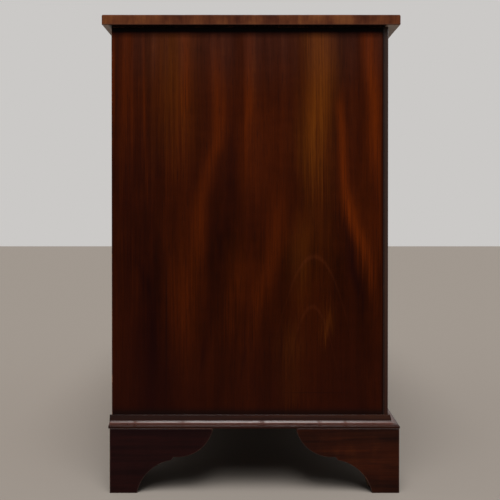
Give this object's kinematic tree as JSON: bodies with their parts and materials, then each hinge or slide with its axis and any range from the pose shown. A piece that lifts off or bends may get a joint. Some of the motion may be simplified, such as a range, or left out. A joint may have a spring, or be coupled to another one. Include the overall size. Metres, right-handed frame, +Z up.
{
  "type": "chest of drawers",
  "caption": "Dark polished mahogany chest of graduated long drawers on ogee bracket feet, with cockbeaded fronts, brass swan-neck handles and locks.",
  "frame": {"origin": "on the floor, in the middle of the width and depth of the whole chest", "axes": "+Z up, +X to the right as seen from the front, -Y out of the drawer fronts"},
  "size_m": [0.893, 0.498, 0.79],
  "materials": {
    "mahogany": "gloss",
    "oak": "matte",
    "pine": "matte",
    "brass": "satin",
    "steel": "satin"
  },
  "bodies": {
    "carcass": {"top_board": "mahogany", "top_screws": "steel", "side_panel_left": "mahogany", "side_panel_right": "mahogany", "front_lippings": "mahogany", "drawer_rail_lower": "mahogany", "drawer_rail_middle": "mahogany", "drawer_rail_upper": "mahogany", "bottom_rail": "mahogany", "bottom_board": "pine", "top_rails": "mahogany", "top_kickers": "pine", "drawer_runners": "oak", "dustboards": "oak", "drawer_stops": "oak", "back_boards": "pine", "base_moulding_front": "mahogany", "base_moulding_left": "mahogany", "base_moulding_right": "mahogany", "front_foot_left": "mahogany", "front_foot_right": "mahogany", "rear_foot_left": "mahogany", "rear_foot_right": "mahogany", "foot_blocks": "pine"},
    "top_drawer": {"top_drawer_front": "mahogany", "top_drawer_cockbead": "mahogany", "top_drawer_linings": "oak", "top_drawer_bottom": "oak", "top_drawer_lock": "brass", "top_drawer_handle_fittings": "brass"},
    "top_drawer_bolt": {"top_drawer_bolt": "brass"},
    "top_drawer_bail_left": {"top_drawer_bail_left": "brass"},
    "top_drawer_bail_right": {"top_drawer_bail_right": "brass"},
    "second_drawer": {"second_drawer_front": "mahogany", "second_drawer_cockbead": "mahogany", "second_drawer_linings": "oak", "second_drawer_bottom": "oak", "second_drawer_lock": "brass", "second_drawer_handle_fittings": "brass"},
    "second_drawer_bolt": {"second_drawer_bolt": "brass"},
    "second_drawer_bail_left": {"second_drawer_bail_left": "brass"},
    "second_drawer_bail_right": {"second_drawer_bail_right": "brass"},
    "third_drawer": {"third_drawer_front": "mahogany", "third_drawer_cockbead": "mahogany", "third_drawer_linings": "oak", "third_drawer_bottom": "oak", "third_drawer_lock": "brass", "third_drawer_handle_fittings": "brass"},
    "third_drawer_bolt": {"third_drawer_bolt": "brass"},
    "third_drawer_bail_left": {"third_drawer_bail_left": "brass"},
    "third_drawer_bail_right": {"third_drawer_bail_right": "brass"},
    "bottom_drawer": {"bottom_drawer_front": "mahogany", "bottom_drawer_cockbead": "mahogany", "bottom_drawer_linings": "oak", "bottom_drawer_bottom": "oak", "bottom_drawer_lock": "brass", "bottom_drawer_handle_fittings": "brass"},
    "bottom_drawer_bolt": {"bottom_drawer_bolt": "brass"},
    "bottom_drawer_bail_left": {"bottom_drawer_bail_left": "brass"},
    "bottom_drawer_bail_right": {"bottom_drawer_bail_right": "brass"}
  },
  "joints": [
    {"name": "top_drawer_slide", "type": "slide", "parent": "carcass", "child": "top_drawer", "axis": [0, -1, 0], "range_m": [0, 0.3]},
    {"name": "top_drawer_bolt_slide", "type": "slide", "parent": "top_drawer", "child": "top_drawer_bolt", "axis": [0, 0, 1], "range_m": [0, 0.007]},
    {"name": "top_drawer_bail_left_swing", "type": "hinge", "parent": "top_drawer", "child": "top_drawer_bail_left", "pos_m": [-0.234, -0.244, 0.7074], "axis": [-1, 0, 0], "range_deg": [-18, 100]},
    {"name": "top_drawer_bail_right_swing", "type": "hinge", "parent": "top_drawer", "child": "top_drawer_bail_right", "pos_m": [0.234, -0.244, 0.7074], "axis": [-1, 0, 0], "range_deg": [-18, 100]},
    {"name": "second_drawer_slide", "type": "slide", "parent": "carcass", "child": "second_drawer", "axis": [0, -1, 0], "range_m": [0, 0.3]},
    {"name": "second_drawer_bolt_slide", "type": "slide", "parent": "second_drawer", "child": "second_drawer_bolt", "axis": [0, 0, 1], "range_m": [0, 0.007]},
    {"name": "second_drawer_bail_left_swing", "type": "hinge", "parent": "second_drawer", "child": "second_drawer_bail_left", "pos_m": [-0.234, -0.244, 0.5654], "axis": [-1, 0, 0], "range_deg": [-18, 100]},
    {"name": "second_drawer_bail_right_swing", "type": "hinge", "parent": "second_drawer", "child": "second_drawer_bail_right", "pos_m": [0.234, -0.244, 0.5654], "axis": [-1, 0, 0], "range_deg": [-18, 100]},
    {"name": "third_drawer_slide", "type": "slide", "parent": "carcass", "child": "third_drawer", "axis": [0, -1, 0], "range_m": [0, 0.3]},
    {"name": "third_drawer_bolt_slide", "type": "slide", "parent": "third_drawer", "child": "third_drawer_bolt", "axis": [0, 0, 1], "range_m": [0, 0.007]},
    {"name": "third_drawer_bail_left_swing", "type": "hinge", "parent": "third_drawer", "child": "third_drawer_bail_left", "pos_m": [-0.234, -0.244, 0.4034], "axis": [-1, 0, 0], "range_deg": [-18, 100]},
    {"name": "third_drawer_bail_right_swing", "type": "hinge", "parent": "third_drawer", "child": "third_drawer_bail_right", "pos_m": [0.234, -0.244, 0.4034], "axis": [-1, 0, 0], "range_deg": [-18, 100]},
    {"name": "bottom_drawer_slide", "type": "slide", "parent": "carcass", "child": "bottom_drawer", "axis": [0, -1, 0], "range_m": [0, 0.3]},
    {"name": "bottom_drawer_bolt_slide", "type": "slide", "parent": "bottom_drawer", "child": "bottom_drawer_bolt", "axis": [0, 0, 1], "range_m": [0, 0.007]},
    {"name": "bottom_drawer_bail_left_swing", "type": "hinge", "parent": "bottom_drawer", "child": "bottom_drawer_bail_left", "pos_m": [-0.234, -0.244, 0.2229], "axis": [-1, 0, 0], "range_deg": [-18, 100]},
    {"name": "bottom_drawer_bail_right_swing", "type": "hinge", "parent": "bottom_drawer", "child": "bottom_drawer_bail_right", "pos_m": [0.234, -0.244, 0.2229], "axis": [-1, 0, 0], "range_deg": [-18, 100]}
  ]
}
